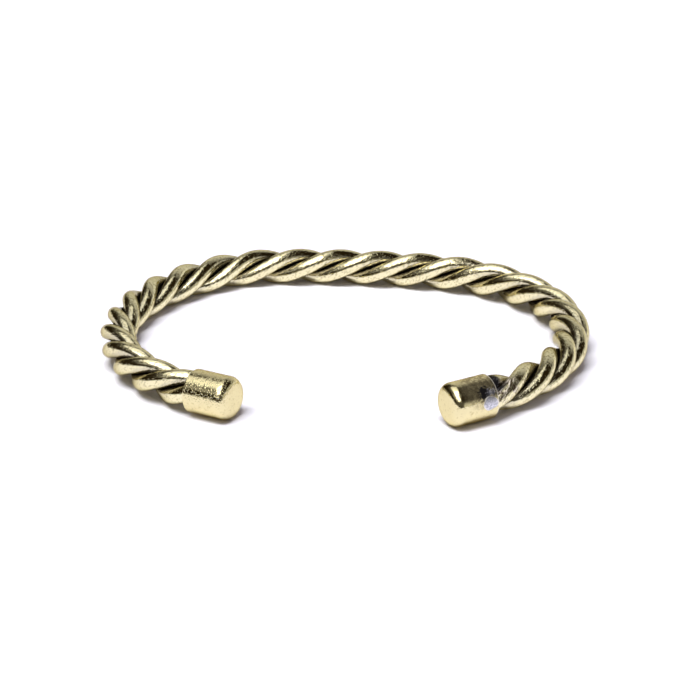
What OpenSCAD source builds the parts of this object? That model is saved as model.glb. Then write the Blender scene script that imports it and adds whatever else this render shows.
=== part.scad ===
// Open cuff bracelet: three round wires twisted left-handed into a rope, the rope bent to an
// oval, and a round cap over each end. It lies on its side with the gap towards -Y. The origin
// is on the surface that it rests on, under the middle of the whole cuff. Millimetres.

/* [Wires] */
// Diameter of each wire
wire_d = 2.3; // [1.8:0.1:2.4]
// Length of rope in which a wire winds once round
turn_length = 18.3; // [16:0.1:24]
// Space that the twist leaves between neighbouring wires
wire_gap = 0.08; // [0.06:0.01:0.12]
// Where the first wire leaves the left cap, as an angle round the rope from its outside
first_wire_angle = 9; // [0:1:119]

/* [Oval] */
// Direction in which the rope leaves the left cap, seen from above
left_heading = 147.5; // [140:0.5:155]
// Bend radius of the left side
left_r = 24.7; // [23:0.1:28]
// Angle that the left side turns through
left_turn = 120; // [110:1:122]
// Bend radius of the tighter shoulder behind the left side
shoulder_r = 16.5; // [14:0.5:24]
// Angle that the shoulder turns through
shoulder_turn = 31; // [25:1:33]
// Bend radius of the back, which is nearly straight
back_r = 92; // [60:1:120]
// Angle that the back turns through
back_turn = 15; // [10:1:16]
// Bend radius of the right side
right_r = 24.4; // [23:0.1:28]
// Angle that the right side turns through
right_turn = 134; // [125:1:136]

/* [Caps] */
// Length of a cap
cap_len = 6.2; // [5.5:0.1:8]
// Thickness of a cap's wall
cap_wall = 0.3; // [0.25:0.05:0.6]
// Thickness of a cap's closed end
cap_end = 1.5; // [1.2:0.1:2]
// Rounding of a cap's closed end
cap_round = 1.1; // [0.6:0.1:1.4]
// Space between the rope and the inside of a cap
cap_play = 0.05; // [0.04:0.01:0.1]
// Space between the wires' ends and a cap's closed end
wire_end_play = 0.1; // [0.05:0.05:0.3]

/* [Solder spot] */
// Radius of the ball whose top is the spot of solder on the right cap
solder_ball_r = 2; // [1.6:0.1:2.3]
// Height of the spot above the cap's wall
solder_rise = 0.14; // [0.08:0.02:0.2]
// Distance of the spot's middle from the cap's mouth
solder_from_mouth = 0.95; // [0.9:0.05:1.6]
// Angle of the spot above the line along the cap's outer side
solder_angle = 4; // [-20:1:40]

/* [Hidden] */
brass = [0.74, 0.64, 0.36];
pale_brass = [0.80, 0.70, 0.42];

// Corners round a wire, and rings along it
wire_sides = 12;
wire_rings = 160;
$fn = 96;

// The wires lie at an angle in the rope, which sets them a little wider apart than three rods
wire_r = wire_d / 2;
packed_r = (wire_d + wire_gap) / 2;
rod_wind_r = packed_r * 2 / sqrt(3);
lay_angle = atan(2 * PI * rod_wind_r / turn_length);
wind_r = packed_r * sqrt(1 + 1 / (3 * pow(cos(lay_angle), 2)));
rope_r = wind_r + wire_r;

bore_r = rope_r + cap_play;
cap_r = bore_r + cap_wall;
bore_depth = cap_len - cap_end;

// A wire's end is cut square to the wire, so one side of it reaches further into the cap
end_slant = wire_r * sin(atan(2 * PI * wind_r / turn_length));
wire_depth = bore_depth - wire_end_play - end_slant;

// Bends from the left cap's mouth round to the right cap's: radius, angle turned clockwise
bends = [
    [left_r, left_turn],
    [shoulder_r, shoulder_turn],
    [back_r, back_turn],
    [right_r, right_turn]
];

// A place on the rope is [x, y, heading, distance from the left cap's mouth]
function bent(place, r, angle) = [
    place[0] + r * (sin(place[2]) - sin(place[2] - angle)),
    place[1] - r * (cos(place[2]) - cos(place[2] - angle)),
    place[2] - angle,
    place[3] + r * angle * PI / 180
];
function straight(place, d) = [
    place[0] + d * cos(place[2]),
    place[1] + d * sin(place[2]),
    place[2],
    place[3] + d
];
function after_bends(n) = n == 0
    ? [0, 0, left_heading, 0]
    : bent(after_bends(n - 1), bends[n - 1][0], bends[n - 1][1]);
marks = [for (n = [0 : len(bends)]) after_bends(n)];
left_mouth = marks[0];
right_mouth = marks[len(bends)];
rope_len = right_mouth[3];

// The place at distance s along the rope; before and after the bends it runs straight into a cap
function rope_at(s, n = 0) =
    s < 0 ? straight(left_mouth, s)
    : n == len(bends) ? straight(right_mouth, s - rope_len)
    : s <= marks[n + 1][3] ? bent(marks[n], bends[n][0], (s - marks[n][3]) / bends[n][0] * 180 / PI)
    : rope_at(s, n + 1);

// Direction from the rope's middle to wire k at distance s, and the middle of that wire
function wire_angle(k, s) = first_wire_angle + 120 * k - 360 * s / turn_length;
function wire_dir(k, s) =
    let (heading = rope_at(s)[2], a = wire_angle(k, s))
    [-sin(heading) * cos(a), cos(heading) * cos(a), sin(a)];
function wire_at(k, s) =
    let (place = rope_at(s))
    [place[0], place[1], 0] + wind_r * wire_dir(k, s);

// The round section of wire k at distance s, square to the wire
function unit(v) = v / norm(v);
function wire_ring(k, s, step = 0.01) =
    let (
        middle = wire_at(k, s),
        along = unit(wire_at(k, s + step) - wire_at(k, s - step)),
        out = unit(wire_dir(k, s) - (wire_dir(k, s) * along) * along),
        side = cross(along, out)
    )
    [for (i = [0 : wire_sides - 1])
        middle + wire_r * (cos(i * 360 / wire_sides) * out + sin(i * 360 / wire_sides) * side)];

// Outside of the cuff seen from above, for the origin
wire_middles = [for (k = [0 : 2], i = [0 : 360]) wire_at(k, rope_len * i / 360)];
left_x = min([for (p = wire_middles) p[0]]) - wire_r;
right_x = max([for (p = wire_middles) p[0]]) + wire_r;
rear_y = max([for (p = wire_middles) p[1]]) + wire_r;
cap_tips = [straight(left_mouth, -cap_len), straight(right_mouth, cap_len)];
front_y = min([for (tip = cap_tips)
    tip[1] - cap_round * (1 - abs(sin(tip[2]))) - (cap_r - cap_round) * abs(cos(tip[2]))]);
middle_x = (left_x + right_x) / 2;
middle_y = (front_y + rear_y) / 2;

// The caps are thicker than the rope, so at rest the cuff leans back a little
back_y = max([for (i = [0 : 360]) rope_at(rope_len * i / 360)[1]]);
nearest_mouth_y = max(left_mouth[1], right_mouth[1]);
rest_lean = asin((cap_r - rope_r) / (back_y - nearest_mouth_y));

// Puts what is drawn round the flat rope's middle line down on the surface
module resting() {
    translate([-middle_x, back_y - middle_y, rope_r])
        rotate([-rest_lean, 0, 0])
            translate([0, -back_y, 0]) children();
}

// Wire k, from inside the left cap to inside the right cap
module wire(k) {
    step = (rope_len + 2 * wire_depth) / (wire_rings - 1);
    points = [for (n = [0 : wire_rings - 1]) each wire_ring(k, n * step - wire_depth)];
    wall = [for (n = [0 : wire_rings - 2], i = [0 : wire_sides - 1])
        let (a = n * wire_sides + i, b = n * wire_sides + (i + 1) % wire_sides)
        each [[a, b + wire_sides, b], [a, a + wire_sides, b + wire_sides]]];
    left_end = [for (i = [0 : wire_sides - 1]) i];
    right_end = [for (i = [1 : wire_sides]) wire_rings * wire_sides - i];
    resting() polyhedron(points, concat(wall, [left_end, right_end]), convexity = 12);
}

module strand_1() {
    color(brass) wire(0);
}

module strand_2() {
    color(brass) wire(1);
}

module strand_3() {
    color(brass) wire(2);
}

// Half section of a cap that stands on its mouth, before it is bored
module cap_half_section() {
    square([cap_r, cap_len - cap_round]);
    square([cap_r - cap_round, cap_len]);
    intersection() {
        translate([cap_r - cap_round, cap_len - cap_round]) circle(cap_round);
        square([cap_r, cap_len]);
    }
}

// A cap that stands on its mouth, bored to take the rope, with what children add to its outside
module cap() {
    difference() {
        union() {
            rotate_extrude() cap_half_section();
            children();
        }
        translate([0, 0, -1]) cylinder(r = bore_r, h = bore_depth + 1);
    }
}

// A spot of solder on the wall, on the side that faces +Y; the rest of its ball is inside the cap
module solder_spot() {
    intersection() {
        rotate([0, 0, solder_angle])
            translate([0, cap_r + solder_rise - solder_ball_r, solder_from_mouth])
                sphere(solder_ball_r);
        cylinder(r = 2 * cap_r, h = cap_len - cap_round);
    }
}

// Puts a cap on a mouth of the rope, with its closed end outwards
module on_mouth(mouth, outwards) {
    resting()
        translate([mouth[0], mouth[1], 0])
            rotate([0, 90, outwards]) children();
}

module end_cap_left() {
    color(pale_brass) on_mouth(left_mouth, left_mouth[2] + 180) cap();
}

module end_cap_right() {
    color(pale_brass) on_mouth(right_mouth, right_mouth[2]) cap() solder_spot();
}

strand_1();
strand_2();
strand_3();
end_cap_left();
end_cap_right();
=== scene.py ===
# %% [markdown]
# # An open cuff of twisted brass wire
#
# Three round wires are twisted left-handed into a rope, the rope is bent to an oval that a
# wrist goes through, and a round cap closes each end. The imported model says where every piece
# is. This script gives each piece its real surface: smooth round wire, turned caps, a spot of
# solder, and brass with tarnish and painted shade in its grooves.

# %% The imported model and the tools
import math

import bmesh
import bpy
from mathutils import Matrix, Vector


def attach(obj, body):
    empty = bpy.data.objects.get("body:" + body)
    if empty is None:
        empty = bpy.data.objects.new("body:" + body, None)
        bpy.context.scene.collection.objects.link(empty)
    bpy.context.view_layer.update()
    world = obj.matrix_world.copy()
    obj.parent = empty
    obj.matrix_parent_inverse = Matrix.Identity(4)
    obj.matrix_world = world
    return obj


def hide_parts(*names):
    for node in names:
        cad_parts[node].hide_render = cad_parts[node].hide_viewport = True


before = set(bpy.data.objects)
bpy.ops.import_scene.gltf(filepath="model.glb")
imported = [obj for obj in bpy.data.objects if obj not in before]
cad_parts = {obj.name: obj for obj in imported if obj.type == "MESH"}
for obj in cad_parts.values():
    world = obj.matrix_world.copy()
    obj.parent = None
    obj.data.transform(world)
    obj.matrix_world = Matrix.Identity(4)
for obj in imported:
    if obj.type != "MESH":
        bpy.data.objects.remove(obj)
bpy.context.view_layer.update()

mm = 0.001
print("packed nodes:", ", ".join(sorted(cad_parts)))

# %% [markdown]
# ## The line that the rope follows
#
# On the bench the twisted rope is bent round a mandrel in one plane. Four arcs follow one
# another without a corner: the left side, a tighter shoulder, the nearly straight back and the
# right side. A place on the line is its x, y and heading, and the distance from the left cap's
# mouth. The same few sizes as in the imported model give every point, so nothing has to be fitted.

# %% Sizes in millimetres, and a line that runs straight or bends
wire_d = 2.3
wire_gap = 0.08
turn_length = 18.3
first_wire_angle = 9.0
left_heading = 147.5
bends = ((24.7, 120), (16.5, 31), (92, 15), (24.4, 134))


def straight(place, distance):
    x, y, heading, s = place
    a = math.radians(heading)
    return x + distance * math.cos(a), y + distance * math.sin(a), heading, s + distance


def bent(place, radius, angle):
    x, y, heading, s = place
    a, b = math.radians(heading), math.radians(heading - angle)
    return (
        x + radius * (math.sin(a) - math.sin(b)),
        y - radius * (math.cos(a) - math.cos(b)),
        heading - angle,
        s + radius * math.radians(angle),
    )


print("bends, radius in mm and angle:", *bends)

# %% The rope's middle line
marks = [(0.0, 0.0, left_heading, 0.0)]
for bend in bends:
    marks.append(bent(marks[-1], *bend))
left_mouth, right_mouth = marks[0], marks[-1]
rope_len = right_mouth[3]


def rope_at(s):
    if s < 0:
        return straight(left_mouth, s)
    for mark, after, (radius, _) in zip(marks, marks[1:], bends):
        if s <= after[3]:
            return bent(mark, radius, math.degrees((s - mark[3]) / radius))
    return straight(right_mouth, s - rope_len)


print(f"rope between the caps' mouths: {rope_len:.2f} mm")

# %% [markdown]
# ## Three wires in one rope
#
# Each wire runs round the rope's middle once in every turn of the twist. Because it runs at an
# angle, its round section is a little long across the rope, and the three sit slightly wider
# apart than straight rods would. A wire's middle is therefore one short formula: the rope's
# place, plus the winding radius in a direction that turns as the distance grows.

# %% The wires' middle lines
wire_r = wire_d / 2
packed_r = (wire_d + wire_gap) / 2
rod_wind_r = packed_r * 2 / math.sqrt(3)
lay_angle = math.atan(2 * math.pi * rod_wind_r / turn_length)
wind_r = packed_r * math.sqrt(1 + 1 / (3 * math.cos(lay_angle) ** 2))
rope_r = wind_r + wire_r
wire_slope = math.atan(2 * math.pi * wind_r / turn_length)


def wire_dir(k, s):
    """Direction from the rope's middle to wire k at distance s."""
    h = math.radians(rope_at(s)[2])
    a = math.radians(first_wire_angle + 120 * k - 360 * s / turn_length)
    return Vector((-math.sin(h) * math.cos(a), math.cos(h) * math.cos(a), math.sin(a)))


def wire_at(k, s):
    x, y, _, _ = rope_at(s)
    return Vector((x, y, 0)) + wind_r * wire_dir(k, s)


print(f"winding radius {wind_r:.3f} mm, rope radius {rope_r:.3f} mm")
print(f"the wires run at {math.degrees(wire_slope):.1f} degrees to the rope")

# %% [markdown]
# ## How it lies
#
# The caps are thicker than the rope, so on a table the cuff rests on both caps and on the back
# of the oval, and leans back by less than half a degree. One matrix takes a point of the flat
# plan to its place in the model's frame, in metres. It is worked out from the outline, with the
# origin under the middle of the whole cuff.

# %% Sizes of the caps, and the outline seen from above
cap_len, cap_wall, cap_end, cap_round = 6.2, 0.3, 1.5, 1.1
cap_play, wire_end_play = 0.05, 0.1
bore_r = rope_r + cap_play
cap_r = bore_r + cap_wall
bore_depth = cap_len - cap_end
wire_depth = bore_depth - wire_end_play - wire_r * math.sin(wire_slope)

outline_steps = 360
stops_along = [rope_len * i / outline_steps for i in range(outline_steps + 1)]
middles = [wire_at(k, s) for k in range(3) for s in stops_along]
tips = [straight(left_mouth, -cap_len), straight(right_mouth, cap_len)]


def tip_front(tip):
    a = math.radians(tip[2])
    return tip[1] - cap_round * (1 - abs(math.sin(a))) - (cap_r - cap_round) * abs(math.cos(a))


left_x, right_x = min(p.x for p in middles) - wire_r, max(p.x for p in middles) + wire_r
rear_y, front_y = max(p.y for p in middles) + wire_r, min(map(tip_front, tips))
print(f"oval {right_x - left_x:.1f} by {rear_y - front_y:.1f} mm, caps {cap_len} by {2 * cap_r:.2f} mm")

# %% The matrix from the flat plan to the frame
middle_x, middle_y = (left_x + right_x) / 2, (front_y + rear_y) / 2
back_y = max(rope_at(s)[1] for s in stops_along)
lean = math.asin((cap_r - rope_r) / (back_y - max(left_mouth[1], right_mouth[1])))

resting = (
    Matrix.Scale(mm, 4)
    @ Matrix.Translation((-middle_x, back_y - middle_y, rope_r))
    @ Matrix.Rotation(-lean, 4, "X")
    @ Matrix.Translation((0, -back_y, 0))
)
print(f"lean {math.degrees(lean):.2f} degrees")

# %% [markdown]
# ## Drawing the wires
#
# A wire is a circle swept along a line, and that is what a curve with a round bevel is. A curve
# keeps its section square to the line by itself, and its resolution is one number. Afterwards it
# becomes a mesh, so that it can carry what a finish needs: where each point would be if the wire
# were pulled straight again, and how deep in the rope's grooves it lies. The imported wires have
# twelve sides, and the round wire is drawn through the middles of those sides, so that it stays
# inside their corners. Where the rope is bent, its wires would part a little on the inside and
# let light through, which real wires that were pulled tight don't do. So the side of each wire
# that faces the rope's middle is swelled a little.

# %% A piece at its place in the frame
def keep(name, bm):
    """A bmesh in the flat plan becomes a smooth piece at its place in the frame."""
    bmesh.ops.transform(bm, matrix=resting, verts=bm.verts)
    mesh = bpy.data.meshes.new(name)
    bm.to_mesh(mesh)
    bm.free()
    mesh.shade_smooth()
    piece = bpy.data.objects.new(name, mesh)
    bpy.context.scene.collection.objects.link(piece)
    return piece


# %% A curve with a round section, made a mesh
wire_step = 0.17
corners_stand_out = 0.04
bevel_resolution = 18
wire_sides = 2 * (bevel_resolution + 2)


def swept_wire(k, places):
    """An open tube round wire k, in the flat plan."""
    curve = bpy.data.curves.new("wire_line", "CURVE")
    curve.dimensions = "3D"
    curve.bevel_depth = wire_r - corners_stand_out
    curve.bevel_resolution = bevel_resolution
    line = curve.splines.new("POLY")
    line.points.add(len(places) - 1)
    for point, s in zip(line.points, places):
        point.co = (*wire_at(k, s), 1)
    holder = bpy.data.objects.new("wire_line", curve)
    bpy.context.scene.collection.objects.link(holder)
    graph = bpy.context.evaluated_depsgraph_get()
    mesh = bpy.data.meshes.new_from_object(holder.evaluated_get(graph))
    bm = bmesh.new()
    bm.from_mesh(mesh)
    bpy.data.objects.remove(holder)
    bpy.data.curves.remove(curve)
    bpy.data.meshes.remove(mesh)
    return bm


print(f"drawn wire: radius {wire_r - corners_stand_out:.2f} mm, {wire_sides} sides")

# %% The place and the directions of a wire's section
nudge = 0.01


def wire_section(k, s):
    """The middle of wire k at distance s, and two directions square to the wire."""
    middle, out = wire_at(k, s), wire_dir(k, s)
    along = (wire_at(k, s + nudge) - wire_at(k, s - nudge)).normalized()
    out = (out - out.dot(along) * along).normalized()
    return middle, out, along.cross(out)


print("first section at, mm:", [round(x, 2) for x in wire_section(0, 0)[0]])

# %% What each point of a wire knows
pressed = 0.15
hidden_from = 0.4


def mark_wire(bm, k, places):
    """Swells the hidden side a little, so that no light passes between wires, and writes on each
    point where it is on the straightened wire and how deep in the groove."""
    pulled = bm.verts.layers.float_vector.new("pulled_straight")
    groove = bm.verts.layers.float.new("groove")
    bm.verts.ensure_lookup_table()
    for ring, s in enumerate(places):
        x, y, heading, _ = rope_at(s)
        middle, out, side = wire_section(k, s)
        h = math.radians(heading)
        rope_along = Vector((math.cos(h), math.sin(h), 0))
        for v in bm.verts[ring * wire_sides:(ring + 1) * wire_sides]:
            arm = v.co - middle
            inward = max(0.0, -arm.dot(out) / arm.length - hidden_from) / (1 - hidden_from)
            v.co += arm.normalized() * pressed * inward
            v[pulled] = (s / math.cos(wire_slope), arm.dot(out), arm.dot(side))
            from_rope = v.co - Vector((x, y, 0))
            from_rope -= from_rope.dot(rope_along) * rope_along
            v[groove] = (rope_r - from_rope.length) / wire_d


print("hidden side of a wire: swelled by up to", pressed, "mm")

# %% The three wires
def make_wire(k):
    length = rope_len + 2 * wire_depth
    count = round(length / wire_step)
    places = [length * i / (count - 1) - wire_depth for i in range(count)]
    bm = swept_wire(k, places)
    mark_wire(bm, k, places)
    ends = [e for e in bm.edges if e.is_boundary]
    bmesh.ops.holes_fill(bm, edges=ends, sides=0)
    bmesh.ops.recalc_face_normals(bm, faces=bm.faces)
    piece = keep(f"wire_{k + 1}", bm)
    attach(piece, "root")
    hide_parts(f"strand_{k + 1}")
    return piece


wires = [make_wire(k) for k in range(3)]
for wire in wires:
    print(wire.name, len(wire.data.vertices), "points,", len(wire.data.polygons), "faces")

# %% [markdown]
# ## The caps
#
# Each end of the rope sits in a small round cap, drawn or turned from brass: a thin wall with a
# crisp rim at the mouth, and a closed end whose edge is generously rounded. Turned work is spun
# from half its section. The section is a few corner points; rounding its corners and dividing
# its long edges happens while it is still a line, which is much less work than on a solid. The
# cap is drawn a hair shorter than its solid and a little rounder, so that it stays inside it.

# %% Work on a section while it is a line
long_edge = 1


def round_corner(bm, x, z, size, segments):
    corner = min(bm.verts, key=lambda v: (v.co - Vector((x, 0, z))).length)
    bmesh.ops.bevel(
        bm, geom=[corner], offset=size, offset_type="OFFSET", segments=segments,
        profile=0.5, affect="VERTICES", material=-1,
    )


def divide_edge(bm, x, z, cuts):
    """Divides the long edge whose middle is nearest to a place on the section."""
    def away(edge):
        return ((edge.verts[0].co + edge.verts[1].co) / 2 - Vector((x, 0, z))).length

    edge = min((e for e in bm.edges if e.calc_length() > long_edge), key=away)
    bmesh.ops.subdivide_edges(bm, edges=[edge], cuts=cuts)


# %% Half a section of a cap
drawn_len = cap_len - 0.01
drawn_round, rim_round = 1.25, 0.1
end_segments, rim_segments = 22, 6
wall_cuts, end_cuts = 60, 14


def cap_half_section():
    """The line round a cap's wall from the middle of its end to the bottom of its bore."""
    bm = bmesh.new()
    corners = [
        (0, drawn_len), (cap_r, drawn_len), (cap_r, 0),
        (bore_r, 0), (bore_r, bore_depth), (0, bore_depth),
    ]
    verts = [bm.verts.new((x, 0, z)) for x, z in corners]
    for pair in zip(verts, verts[1:]):
        bm.edges.new(pair)
    round_corner(bm, cap_r, drawn_len, drawn_round, end_segments)
    round_corner(bm, cap_r, 0, rim_round, rim_segments)
    round_corner(bm, bore_r, 0, rim_round, rim_segments)
    divide_edge(bm, cap_r, cap_len / 2, wall_cuts)
    divide_edge(bm, cap_r / 2, drawn_len, end_cuts)
    return bm


print(f"drawn cap: {drawn_len:.2f} mm long, its end rounded by {drawn_round} mm")

# %% The section spun to a cap
cap_turns = 160
same_point = 1e-5


def turned_cap():
    """A cap that stands on its mouth, with its closed end up."""
    bm = cap_half_section()
    bmesh.ops.spin(
        bm, geom=bm.verts[:] + bm.edges[:], cent=(0, 0, 0), axis=(0, 0, 1),
        angle=2 * math.pi, steps=cap_turns, use_merge=True,
    )
    bmesh.ops.remove_doubles(bm, verts=bm.verts, dist=same_point)
    bmesh.ops.recalc_face_normals(bm, faces=bm.faces)
    return bm


print("a cap is spun in", cap_turns, "steps")

# %% The two caps on the mouths of the rope
def on_mouth(mouth, outwards):
    turn = Matrix.Rotation(math.radians(outwards), 4, "Z") @ Matrix.Rotation(math.pi / 2, 4, "Y")
    return Matrix.Translation((mouth[0], mouth[1], 0)) @ turn


def make_cap(side, mouth, outwards):
    bm = turned_cap()
    turned = bm.verts.layers.float_vector.new("turned")
    for v in bm.verts:
        v[turned] = v.co
    bmesh.ops.transform(bm, matrix=on_mouth(mouth, outwards), verts=bm.verts)
    piece = keep(f"cap_{side}", bm)
    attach(piece, "root")
    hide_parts(f"end_cap_{side}")
    return piece


caps = [
    make_cap("left", left_mouth, left_mouth[2] + 180),
    make_cap("right", right_mouth, right_mouth[2]),
]
for cap in caps:
    print(cap.name, len(cap.data.vertices), "points,", len(cap.data.polygons), "faces")

# %% [markdown]
# ## The spot of solder
#
# Where the right cap was fixed, a drop of silver-grey solder has stayed on its side, touching the
# rim. A drop that has wetted metal is a very flat lens with a rounded edge. A squashed sphere is
# that shape already, so it only has to be wrapped round the wall: what was its width becomes a
# way round the cap. Its lower part lies in the wall, as solder does once it has flowed, and two
# gentle waves keep its outline from being a plain oval.

# %% Places on the right cap
on_right_mouth = on_mouth(right_mouth, right_mouth[2])


def spot_on_cap(up, from_mouth, out=0.0):
    """The place on the right cap, or before its mouth, at an angle above the outer side."""
    a = math.radians(up)
    r = cap_r + out
    return Vector((-r * math.sin(a), r * math.cos(a), from_mouth))


print("round the right cap, one degree is", round(cap_r * math.radians(1), 3), "mm")

# %% A squashed sphere, wrapped round the cap
solder_up, solder_from_mouth = 7.0, 1.25
solder_half_width, solder_half_length = 0.98, 1.15
solder_rise, solder_sunk = 0.13, 0.05
solder_waves = ((3, 0.05, 0.6), (5, 0.03, 0.0))
drop_turns, drop_rings = 96, 64


def make_solder():
    bm = bmesh.new()
    bmesh.ops.create_uvsphere(bm, u_segments=drop_turns, v_segments=drop_rings, radius=1)
    on_drop = bm.verts.layers.float_vector.new("on_drop")
    for v in bm.verts:
        v[on_drop] = v.co
        x, y, z = v.co
        way = math.atan2(y, x)
        edge = 1 + sum(size * math.sin(count * way + start) for count, size, start in solder_waves)
        around = edge * solder_half_width * x / cap_r
        height = (solder_rise + solder_sunk) * z - solder_sunk
        along = solder_from_mouth + edge * solder_half_length * y
        v.co = spot_on_cap(solder_up + math.degrees(around), along, height)
    bmesh.ops.transform(bm, matrix=on_right_mouth, verts=bm.verts)
    bmesh.ops.recalc_face_normals(bm, faces=bm.faces)
    piece = keep("solder_spot", bm)
    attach(piece, "root")
    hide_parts("end_cap_right")
    return piece


solder = make_solder()
print(solder.name, len(solder.data.vertices), "points, stands", solder_rise, "mm proud")

# %% [markdown]
# ## Sums on nodes
#
# A finish is a graph of nodes, and most of its nodes are sums. Written out one by one they hide
# what they mean, so a small class wraps a socket and lets Python's own signs add the nodes:
# `1 - shine * 0.5` reads like the sum that it is. Every other kind of node comes from one method,
# which takes the node's type, its settings, and what goes into its sockets. The nodes that come
# often then get a short name each.

# %% A socket that Python's arithmetic works on
class Value:
    def __init__(self, graph, socket):
        self.graph, self.socket = graph, socket

    def sum(self, operation, a, b):
        return self.graph.add("ShaderNodeMath", {"operation": operation}, {0: a, 1: b})

    def __add__(self, other):
        return self.sum("ADD", self, other)

    def __sub__(self, other):
        return self.sum("SUBTRACT", self, other)

    def __rsub__(self, other):
        return self.sum("SUBTRACT", other, self)

    def __mul__(self, other):
        return self.sum("MULTIPLY", self, other)

    def __truediv__(self, other):
        return self.sum("DIVIDE", self, other)

    __radd__, __rmul__ = __add__, __mul__


# %% One method for every other node
class Nodes:
    def __init__(self, owner):
        owner.use_nodes = True
        self.tree = owner.node_tree

    def put(self, socket, value):
        if isinstance(value, Value):
            self.tree.links.new(value.socket, socket)
        else:
            socket.default_value = value

    def set_stops(self, ramp, stops):
        while len(ramp.elements) < len(stops):
            ramp.elements.new(0.5)
        for element, (at, level) in zip(ramp.elements, stops):
            element.position, element.color = at, (level, level, level, 1)

    def add(self, kind, settings=None, values=None, out=0):
        node = self.tree.nodes.new(kind)
        for name, setting in (settings or {}).items():
            if name == "stops":
                self.set_stops(node.color_ramp, setting)
            else:
                setattr(node, name, setting)
        for name, value in (values or {}).items():
            self.put(node.inputs[name], value)
        return Value(self, node.outputs[out])


# %% The nodes that come often
class Graph(Nodes):
    def attribute(self, name, out="Vector"):
        return self.add("ShaderNodeAttribute", {"attribute_name": name}, {}, out)

    def axis(self, place, name):
        return self.add("ShaderNodeSeparateXYZ", {}, {0: place}, name)

    def scaled(self, place, by):
        return self.add("ShaderNodeVectorMath", {"operation": "MULTIPLY"}, {0: place, 1: by})

    def at_least(self, value, low):
        return self.add("ShaderNodeMath", {"operation": "MAXIMUM"}, {0: value, 1: low})

    def noise(self, place, per_mm, detail=2.0):
        values = {"Vector": place, "Scale": per_mm, "Detail": detail}
        return self.add("ShaderNodeTexNoise", {}, values, "Fac")

    def ramp(self, value, stops):
        return self.add("ShaderNodeValToRGB", {"stops": stops}, {0: value})

    def mix(self, factor, a, b):
        return self.add("ShaderNodeMix", {"data_type": "RGBA"}, {0: factor, 6: a, 7: b}, 2)

    def between(self, value, low, high):
        """Rises smoothly from 0 to 1 as the value goes from low to high."""
        values = {"Value": value, "From Min": low, "From Max": high}
        return self.add("ShaderNodeMapRange", {"interpolation_type": "SMOOTHSTEP"}, values, "Result")


def finish(name):
    """A new material, its graph, and its surface shader's sockets."""
    material = bpy.data.materials.new(name)
    graph = Graph(material)
    return material, graph, graph.tree.nodes["Principled BSDF"].inputs


# %% [markdown]
# ## Brass of the wires
#
# Drawn wire is smooth and bright, with a faint grain along its length and fine pits. It was
# polished after it was twisted, so the crests shine. Towards the grooves, which no cloth reaches,
# the brass gets a greyish film, and at the bottom the colour is nearly black: tarnish, and painted
# shade between the wires. Next to the solder the flame has left a pale crust on one wire and soot
# beside it. All of it follows the wire and not the room, so the grain is read from the wire as if
# it were pulled straight again, and the tarnish and painted shade from the depth in the groove.

# %% The colours of wire brass
bright_brass = (0.84, 0.77, 0.49, 1)
dull_brass = (0.40, 0.33, 0.16, 1)
film_brown = (0.60, 0.55, 0.385, 1)
# Nearly black at the bottom of the grooves: tarnish, and painted shade between the wires.
groove_tarnish_and_shade = (0.025, 0.014, 0.006, 1)
crust_dark, crust_pale = (0.055, 0.035, 0.02, 1), (0.78, 0.70, 0.58, 1)
soot_black, soot_grey = (0.016, 0.015, 0.018, 1), (0.14, 0.14, 0.16, 1)
brass_edge = (0.52, 0.48, 0.36, 1)

to_frame = resting @ on_right_mouth
crust_place = to_frame @ spot_on_cap(44, -1.5, -0.6)
soot_place = to_frame @ spot_on_cap(74, -0.5, -0.5)
print("crust at, mm:", [round(x / mm, 1) for x in crust_place])
print("soot at, mm:", [round(x / mm, 1) for x in soot_place])

# %% A blot round a place
def place_in_mm(g):
    """Where a point is in the frame, in millimetres."""
    return g.scaled(g.add("ShaderNodeTexCoord", {}, {}, "Object"), (1 / mm, 1 / mm, 1 / mm))


def blot(g, place, centre, reach, ragged=0.0):
    """1 near a place in the frame and 0 away from it; noise makes the edge ragged."""
    values = {0: place, 1: centre / mm}
    away = g.add("ShaderNodeVectorMath", {"operation": "DISTANCE"}, values, "Value")
    return 1 - g.between(away + ragged, *reach)


# %% What lies where on a wire
grain_per_mm, speck_per_mm, patch_per_mm = 5.0, 4.0, 0.35
long_grain, long_speck = (0.25, 1, 1), (0.7, 1, 1)
film_depth, tarnish_and_shade_depth = (0.12, 0.40), (0.42, 0.60)
crust_reach, soot_reach = (1.4, 2.6), (1.3, 2.2)

wire_brass, g, surface = finish("wire_brass")
place = place_in_mm(g)
pulled = g.attribute("pulled_straight")
grain = g.noise(g.scaled(pulled, long_grain), grain_per_mm, 1.0)
speck = g.noise(g.scaled(pulled, long_speck), speck_per_mm, 1.0)
patch = g.noise(pulled, patch_per_mm)
depth = g.attribute("groove", "Fac") + (patch - 0.5) * 0.12 + (speck - 0.5) * 0.16
film = g.between(depth, *film_depth)
# Towards the bottom of a groove: tarnish with painted shade, nearly black.
tarnish_and_shade = g.between(depth, *tarnish_and_shade_depth)
dull = g.between(patch, 0.40, 0.75) * 0.1 + g.between(speck, 0.55, 0.63) * 0.5
crust = blot(g, place, crust_place, crust_reach) * g.between(patch + speck, 0.7, 0.95)
soot = blot(g, place, soot_place, soot_reach, (speck - 0.5) * 1.2)
film_mm, tarnish_and_shade_mm = film_depth[0] * wire_d, tarnish_and_shade_depth[0] * wire_d
print(f"film from {film_mm:.2f} mm deep in a groove, tarnish from {tarnish_and_shade_mm:.2f} mm")

# %% The wires' shader
polished = 0.03
wire_relief = 0.016 * mm


def bump(g, height, distance, strength=1.0):
    values = {"Strength": strength, "Distance": distance, "Height": height}
    return g.add("ShaderNodeBump", {}, values)


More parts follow.
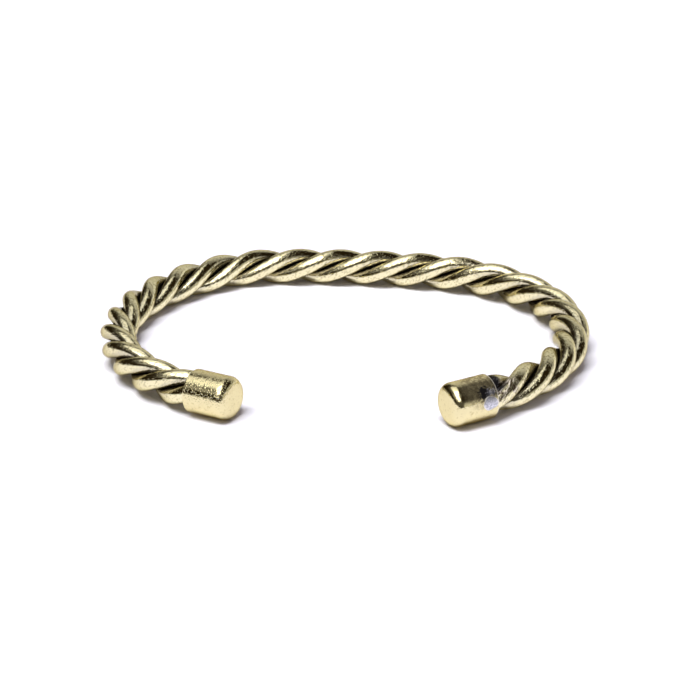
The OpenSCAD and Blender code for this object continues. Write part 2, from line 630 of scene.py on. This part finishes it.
crust_colour = g.mix(g.between(grain, 0.44, 0.6), crust_dark, crust_pale)
soot_colour = g.mix(g.between(grain, 0.5, 0.65), soot_black, soot_grey)
colour = g.mix(dull, bright_brass, dull_brass)
colour = g.mix(film, colour, film_brown)
colour = g.mix(tarnish_and_shade, colour, groove_tarnish_and_shade)
colour = g.mix(crust, colour, crust_colour)
colour = g.mix(soot, colour, soot_colour)
relief = grain * 0.7 + g.between(speck, 0.52, 0.70)
g.put(surface["Base Color"], colour)
g.put(surface["Metallic"], 1 - crust * 0.35)
g.put(surface["Roughness"], polished + dull * 0.08 + tarnish_and_shade * 0.5 + crust * 0.35 + soot * 0.3)
g.put(surface["Specular Tint"], brass_edge)
g.put(surface["Normal"], bump(g, relief, wire_relief))
for wire in wires:
    wire.data.materials.append(wire_brass)
print("wire brass:", len(g.tree.nodes), "nodes")

# %% [markdown]
# ## Brass of the caps
#
# The caps are a paler brass with pits here and there, more of them on the left cap, so that the
# line between a light and a dark reflection looks speckled. The right cap was heated to solder it.
# The flame has smoked its upper half brown and left a black patch and a grey film next to the
# drop. Beside them the rim is painted pale, partly rubbed bright and partly a painted highlight on
# its edge. Each stain and the pale rim is a blot round a place on the wall, and noise added to the
# distance gives it a ragged edge.

# %% The colours of cap brass
pale_brass = (0.785, 0.695, 0.40, 1)
cap_shade = (0.44, 0.35, 0.16, 1)
cap_edge = (0.68, 0.61, 0.44, 1)
smoke_dark, smoke_pale = (0.24, 0.19, 0.10, 1), (0.64, 0.56, 0.33, 1)
burnt_black = (0.016, 0.015, 0.016, 1)
film_dark, film_pale = (0.13, 0.13, 0.15, 1), (0.42, 0.41, 0.42, 1)
# The rim beside the drop: rubbed brass, with a painted highlight on its edge.
worn_rim_highlight_colour = (0.84, 0.80, 0.70, 1)

film_place = to_frame @ spot_on_cap(34, 0.9)
burnt_place = to_frame @ spot_on_cap(36, 1.9)
smoked_place = to_frame @ spot_on_cap(56, 2.0)
print("black patch at, mm:", [round(x / mm, 1) for x in burnt_place])

# %% What lies where on a cap
pits_per_mm, specks_per_mm, cloud_per_mm = 4.5, 2.6, 0.5
middle_of_cuff = (-5.0, 5.0)
smoked_reach, burnt_reach = (2.0, 3.4), (0.75, 1.1)
film_reach, worn_rim_highlight_reach = (0.3, 0.85), (3.0, 3.6)
rim_width = (0.08, 0.18)

cap_brass, g, surface = finish("cap_brass")
place = place_in_mm(g)
turned = g.attribute("turned")
pits = g.noise(turned, pits_per_mm, 1.0)
specks = g.noise(turned, specks_per_mm, 4.0)
cloud = g.noise(turned, cloud_per_mm, 3.0)
pitted = 1 - g.between(g.axis(place, "X"), *middle_of_cuff) * 0.7
ragged = (cloud - 0.5) * 1.2 + (specks - 0.5)
crisp = (pits - 0.5) * 1.6

smoked = blot(g, place, smoked_place, smoked_reach, ragged) * 0.8
burnt = blot(g, place, burnt_place, burnt_reach, ragged + crisp)
film = blot(g, place, film_place, film_reach, crisp)
at_rim = 1 - g.between(g.axis(turned, "Z"), *rim_width)
# Painted highlight, with some wear, along the rim next to the drop.
worn_rim_highlight = at_rim * blot(g, place, film_place, worn_rim_highlight_reach, ragged)
stained = g.at_least(burnt, film)
dull = g.between(specks, 0.56, 0.70) * 0.45 + g.between(cloud, 0.45, 0.8) * 0.2
print("smoke reaches", smoked_reach[1], "mm, the black patch", burnt_reach[1], "mm")

# %% The caps' shader
cap_relief = 0.02 * mm

smoked_colour = g.mix(g.between(specks, 0.44, 0.62), smoke_dark, smoke_pale)
film_colour = g.mix(g.between(specks, 0.45, 0.6), film_dark, film_pale)
colour = g.mix(dull, pale_brass, cap_shade)
colour = g.mix(smoked, colour, smoked_colour)
colour = g.mix(burnt, colour, burnt_black)
colour = g.mix(film, colour, film_colour)
colour = g.mix(worn_rim_highlight, colour, worn_rim_highlight_colour)
relief = (g.between(pits, 0.52, 0.72) + specks * 0.8) * pitted
g.put(surface["Base Color"], colour)
g.put(surface["Metallic"], 1 - stained * 0.2 - smoked * 0.14)
roughness = polished + dull * 0.10 + smoked * 0.06 + stained * 0.27 + worn_rim_highlight * 0.4
g.put(surface["Roughness"], roughness)
g.put(surface["Specular Tint"], cap_edge)
g.put(surface["Normal"], bump(g, relief, cap_relief))
for cap in caps:
    cap.data.materials.append(cap_brass)
print("cap brass:", len(g.tree.nodes), "nodes")

# %% [markdown]
# ## Solder
#
# Solder is a grey metal, a little bluish next to brass, and duller than both. The edge of the
# drop is thin and was rubbed when the cap was polished, which leaves a pale line round it. How
# high a point was on the sphere tells where that edge is.

# %% Solder grey
grey_dark, grey_pale = (0.42, 0.42, 0.46, 1), (0.72, 0.71, 0.77, 1)
rubbed_edge = (0.80, 0.76, 0.68, 1)
frost_per_width = 4.0
solder_relief = 0.02 * mm

solder_grey, g, surface = finish("solder_grey")
on_drop = g.attribute("on_drop")
frost = g.between(g.noise(on_drop, frost_per_width, 3.0), 0.35, 0.65)
edge = 1 - g.between(g.axis(on_drop, "Z") + (frost - 0.5) * 0.2, 0.35, 0.62)
colour = g.mix(edge, g.mix(frost, grey_dark, grey_pale), rubbed_edge)
g.put(surface["Base Color"], colour)
g.put(surface["Metallic"], 0.9 - edge * 0.1)
g.put(surface["Roughness"], 0.34 + frost * 0.1)
g.put(surface["Normal"], bump(g, frost, solder_relief, 0.3))
solder.data.materials.append(solder_grey)
print("solder grey:", len(g.tree.nodes), "nodes")

# %% [markdown]
# ## The floor
#
# The cuff lies on a plain white sheet that is lit until it is pure white, apart from the soft
# shadow next to the rope. The sheet and the light that fills the shadow lean a little to lilac,
# because the shadow does. Polished metal shows its surroundings more than itself, so this sheet
# is also what makes the lower half of every wire cream.

# %% A white sheet
floor_half = 6.0
sheet_white = (0.87, 0.865, 0.935, 1)

bm = bmesh.new()
bmesh.ops.create_grid(bm, x_segments=1, y_segments=1, size=floor_half)
floor_mesh = bpy.data.meshes.new("floor")
bm.to_mesh(floor_mesh)
bm.free()
floor = bpy.data.objects.new("floor", floor_mesh)
bpy.context.scene.collection.objects.link(floor)
white, g, surface = finish("white_sheet")
g.put(surface["Base Color"], sheet_white)
g.put(surface["Roughness"], 0.9)
floor_mesh.materials.append(white)
print("sheet:", 2 * floor_half, "m square")

# %% [markdown]
# ## The camera
#
# The photograph was taken from the front, a little above the cuff, and level to within two
# degrees. Its direction, distance and scale come from fitting the rope's outline, so the numbers
# here are that fit. The camera looks straight at the middle of the picture and has no shift.

# %% The photograph's point of view
photo_side = 680
camera_distance = 0.300
camera_down, camera_yaw, camera_roll = 0.4097, 0.0098, -0.0300
pixels_per_metre = 7234.0
origin_pixel = (343.63, 348.91)

look = Vector((
    math.sin(camera_yaw) * math.cos(camera_down),
    math.cos(camera_yaw) * math.cos(camera_down),
    -math.sin(camera_down),
))
level = Vector((math.cos(camera_yaw), -math.sin(camera_yaw), 0))
upright = level.cross(look)
right = level * math.cos(camera_roll) + upright * math.sin(camera_roll)
up = upright * math.cos(camera_roll) - level * math.sin(camera_roll)
print("looks down by", round(math.degrees(camera_down), 1), "degrees")

# %% The camera
film_width = 36
nearest, farthest = 0.01, 20

eye = -look * camera_distance
middle_pixel = photo_side / 2
aim = right * (middle_pixel - origin_pixel[0]) + up * (origin_pixel[1] - middle_pixel)
back = (eye - aim / pixels_per_metre).normalized()
right = (right - right.dot(back) * back).normalized()
up = back.cross(right)

camera_data = bpy.data.cameras.new("camera")
camera_data.sensor_width = film_width
camera_data.lens = pixels_per_metre * camera_distance / photo_side * film_width
camera_data.clip_start, camera_data.clip_end = nearest, farthest
camera = bpy.data.objects.new("camera", camera_data)
bpy.context.scene.collection.objects.link(camera)
pose = Matrix((right, up, back)).transposed().to_4x4()
pose.translation = eye
camera.matrix_world = pose
bpy.context.scene.camera = camera
print(f"lens {camera_data.lens:.1f} mm")

# %% [markdown]
# ## Light
#
# The reflections tell how the cuff was lit. The long white strips are one large softbox overhead,
# a little to the left and the front, whose left side spills into the room, with a faint haze
# beside it, and whose far end fades. The wall behind is grey, there is a glow low on the right
# and a little at the left, and the rest is a dark, warm room, which gives the polished metal its
# dark bands. The room is the world's colour by direction, written as sums on where a ray goes.
#
# What the metal mirrors and what lights the sheet are kept apart, because each has its own job.
# The room and the softbox are only mirrored. The main light makes the soft shadow, the glow fills
# it, and no mirror shows either. All of them hang so high that the sheet is evenly white far
# beyond the picture.

# %% Where a ray goes
grazing = 0.05

world = bpy.data.worlds.new("studio")
bpy.context.scene.world = world
world.cycles_visibility.diffuse = False
g = Graph(world)
ray = g.add("ShaderNodeTexCoord", {}, {}, "Generated")
x, y, z = (g.axis(ray, name) for name in "XYZ")
over_x = x / g.at_least(z, grazing)
over_y = y / g.at_least(z, grazing)
aside = x / g.at_least(y, grazing)
print("a ray's way:", len(g.tree.nodes), "nodes")

# %% What is overhead: the softbox's far end, its spill and the haze
far_end_at = 0.7
far_end_levels = ((0.0, 1.3), (0.3, 1.15), (0.6, 0.95), (0.78, 0.75), (0.88, 0.12), (1.0, 0.0))
spill_level, haze_level = 0.45, 0.14


def window(value, rise, fall):
    """1 where the value is between two smooth edges, and 0 outside them."""
    return g.between(value, *rise) * (1 - g.between(value, *fall))


far_end = g.ramp(over_y / far_end_at, far_end_levels) * g.between(over_y, -0.5, -0.2)
far_end = far_end * window(over_x, (-1.1, -0.65), (0.0, 0.25))
spill = window(over_x, (-2.7, -0.8), (0.0, 0.6)) * window(over_y, (-2.2, -1.4), (-0.6, -0.1))
haze = window(over_x, (-2.4, -0.8), (-0.7, 0.1)) * window(over_y, (-1.0, -0.3), (-0.1, 1.6))
overhead_light = far_end + spill * spill_level + haze * haze_level
print("the softbox ends", far_end_at, "times its height behind the cuff")

# %% What is around: the wall behind and three low glows
wall_levels = (
    (0.2, 0.82), (0.3, 0.79), (0.42, 0.74), (0.56, 0.66), (0.70, 0.48), (0.77, 0.36), (0.84, 0.0),
)


def low_glow(way, rise, fall, level):
    """Light near the horizon, in the direction that a ray's way along one axis is large."""
    return g.between(way, *rise) * (1 - g.between(z, *fall)) * level


wall_behind = g.ramp(z, wall_levels) * g.between(y, 0.05, 0.2)
wall_behind = wall_behind * window(aside, (-0.62, -0.08), (0.1, 2.6))
on_the_right = low_glow(x, (0.35, 0.95), (0.05, 0.5), 0.8)
in_front = low_glow(y * -1, (0.45, 0.8), (0.3, 0.7), 0.08)
on_the_left = low_glow(x * -1, (0.5, 0.8), (0.02, 0.12), 0.5)
print("wall up to", round(math.degrees(math.asin(wall_levels[-1][0]))), "degrees above the sheet")

# %% The room
dim_room = (0.021, 0.014, 0.005)

lit = overhead_light + wall_behind + on_the_right + in_front + on_the_left
room = g.add("ShaderNodeVectorMath", {"operation": "ADD"}, {0: dim_room, 1: lit})
g.put(g.tree.nodes["Background"].inputs["Color"], room)
print("room:", len(g.tree.nodes), "nodes")

# %% The lamps
light_height = 5.0
glow_tint = (0.87, 0.76, 1.0)


def lamp_above(name, over, size, radiance, turn=0):
    """A rectangular lamp that faces down. Its place and size are shares of its height, and its
    power follows from how bright it looks."""
    data = bpy.data.lights.new(name, "AREA")
    data.shape = "RECTANGLE"
    data.size, data.size_y = size[0] * light_height, size[1] * light_height
    data.energy = radiance * math.pi * data.size * data.size_y
    lamp = bpy.data.objects.new(name, data)
    bpy.context.scene.collection.objects.link(lamp)
    place = Matrix.Translation(Vector((*over, 1.0)) * light_height)
    lamp.matrix_world = place @ Matrix.Rotation(math.radians(turn), 4, "Z")
    lamp.visible_camera = False
    print(name, round(data.energy), "W")
    return lamp


overhead = lamp_above("softbox_overhead", (-0.38, -0.76), (0.94, 1.32), radiance=2.2, turn=8)
main_light = lamp_above("main_light", (-0.24, -0.28), (0.76, 0.46), radiance=15.6)
glow = lamp_above("glow", (0.2, -0.4), (3.0, 2.6), radiance=0.27)
glow.data.color = glow_tint
overhead.visible_diffuse = False
main_light.visible_glossy = False
glow.visible_glossy = False
bpy.context.scene.view_settings.view_transform = "Standard"
